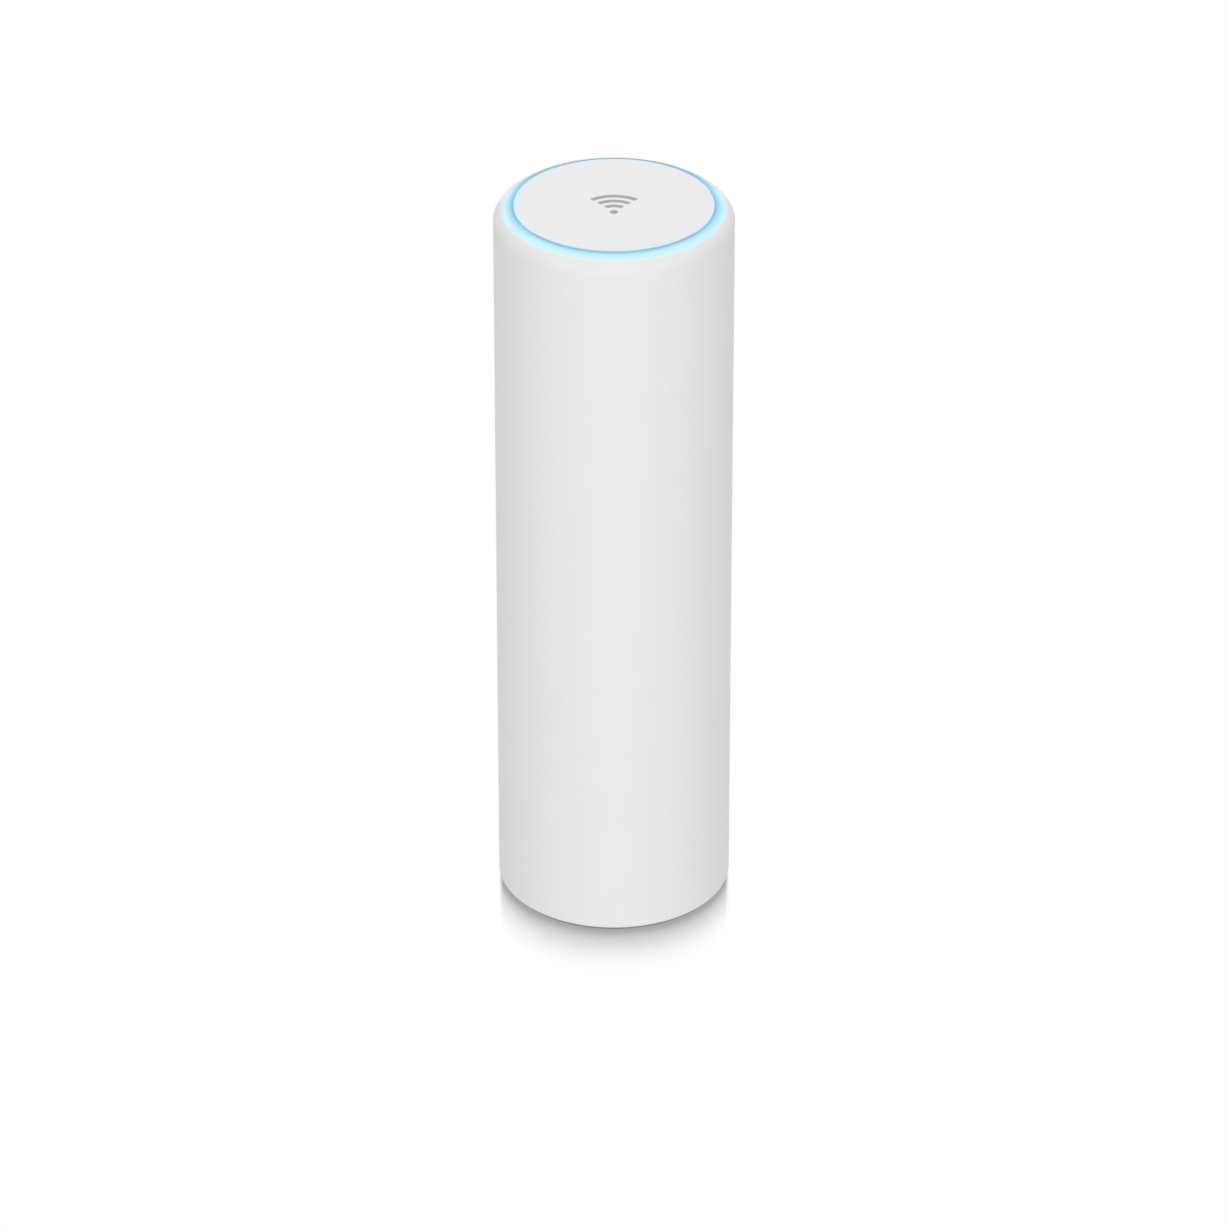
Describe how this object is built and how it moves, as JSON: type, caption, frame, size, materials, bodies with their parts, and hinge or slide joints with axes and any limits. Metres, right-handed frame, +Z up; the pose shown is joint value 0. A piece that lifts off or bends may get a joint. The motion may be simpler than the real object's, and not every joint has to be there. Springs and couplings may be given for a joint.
{
  "type": "mesh wifi node",
  "caption": "Tall free-standing white cylinder with a flat round cap inside a lit ring, and a twist-off base under the bay that holds its network port and reset button.",
  "frame": {"origin": "centre of the plane that the foot ring stands on", "axes": "+Z up along the cylinder's axis, -Y the front, +Y the rear where the cable leaves, +X to the right seen from the front"},
  "size_m": [0.075, 0.075, 0.244],
  "materials": {
    "sleeve_plastic": "fine satin grain, white",
    "cap_plastic": "fine satin grain, white",
    "ring_diffuser": "frosted, lit from below",
    "tray_plastic": "smooth, white reflector",
    "base_plastic": "fine grain, white",
    "chassis_plastic": "fine grain, white",
    "drum_plastic": "moulded, grey",
    "foot_rubber": "matt, grey",
    "seal_rubber": "matt, black",
    "button_plastic": "satin, grey",
    "stem_plastic": "satin, red",
    "switch_plastic": "satin, black",
    "sink_metal": "as cast",
    "screw_steel": "bright zinc",
    "shield_tin": "tinned",
    "board_laminate": "solder mask, green",
    "led_laminate": "solder mask, white",
    "antenna_laminate": "bare laminate",
    "trace_copper": "etched copper",
    "led_white": "moulded",
    "lead_jacket": "smooth, black",
    "plug_gold": "gold plated",
    "contact_gold": "gold plated",
    "flex_film": "polyimide",
    "connector_plastic": "moulded, cream",
    "chip_epoxy": "moulded, black",
    "pad_silicone": "soft, pale blue",
    "ferrite": "sintered, dark",
    "bobbin_plastic": "taped winding, yellow",
    "capacitor_can": "drawn can",
    "jack_plastic": "moulded, black"
  },
  "bodies": {
    "stand": {"stand_base": "base_plastic", "foot_ring": "foot_rubber"},
    "housing": {"outer_sleeve": "sleeve_plastic", "top_cap": "cap_plastic", "light_ring": "ring_diffuser", "ring_seal": "seal_rubber", "led_carrier": "tray_plastic", "led_board": "led_laminate", "leds": "led_white", "cap_screws": "screw_steel", "carrier_screws": "screw_steel", "led_flex": "flex_film", "flex_connector": "connector_plastic", "antenna_drum": "drum_plastic", "antenna_2g_front": "antenna_laminate", "antenna_2g_rear": "antenna_laminate", "antenna_5g_right": "antenna_laminate", "antenna_5g_left": "antenna_laminate", "antenna_5g_back_right": "antenna_laminate", "antenna_5g_back_left": "antenna_laminate", "antenna_traces": "trace_copper", "coax_leads": "lead_jacket", "coax_plugs": "plug_gold", "drum_screws": "screw_steel", "heat_sink": "sink_metal", "main_board": "board_laminate", "processor": "chip_epoxy", "memory_chips": "chip_epoxy", "radio_chips": "chip_epoxy", "thermal_pads": "pad_silicone", "shield_upper": "shield_tin", "shield_lower": "shield_tin", "frontend_chips": "chip_epoxy", "transformer_core": "ferrite", "transformer_bobbin": "bobbin_plastic", "lan_transformer": "chip_epoxy", "bulk_capacitors": "capacitor_can", "power_inductor": "ferrite", "board_screws": "screw_steel", "jack_shield": "shield_tin", "jack_housing": "jack_plastic", "jack_contacts": "contact_gold", "jack_seal": "seal_rubber", "reset_switch": "switch_plastic", "sink_screws": "screw_steel", "chassis": "chassis_plastic", "chassis_seal": "seal_rubber", "chassis_screws": "screw_steel"},
    "reset": {"reset_button": "button_plastic", "switch_stem": "stem_plastic"}
  },
  "joints": [
    {"name": "base_twist", "type": "hinge", "parent": "stand", "child": "housing", "pos_m": [0, 0, 0], "axis": [0, 0, -1], "range_deg": [0, 38]},
    {"name": "reset_press", "type": "slide", "parent": "housing", "child": "reset", "axis": [0, 0, 1], "range_m": [0, 0.0005], "stiffness_N_per_m": 1000}
  ]
}
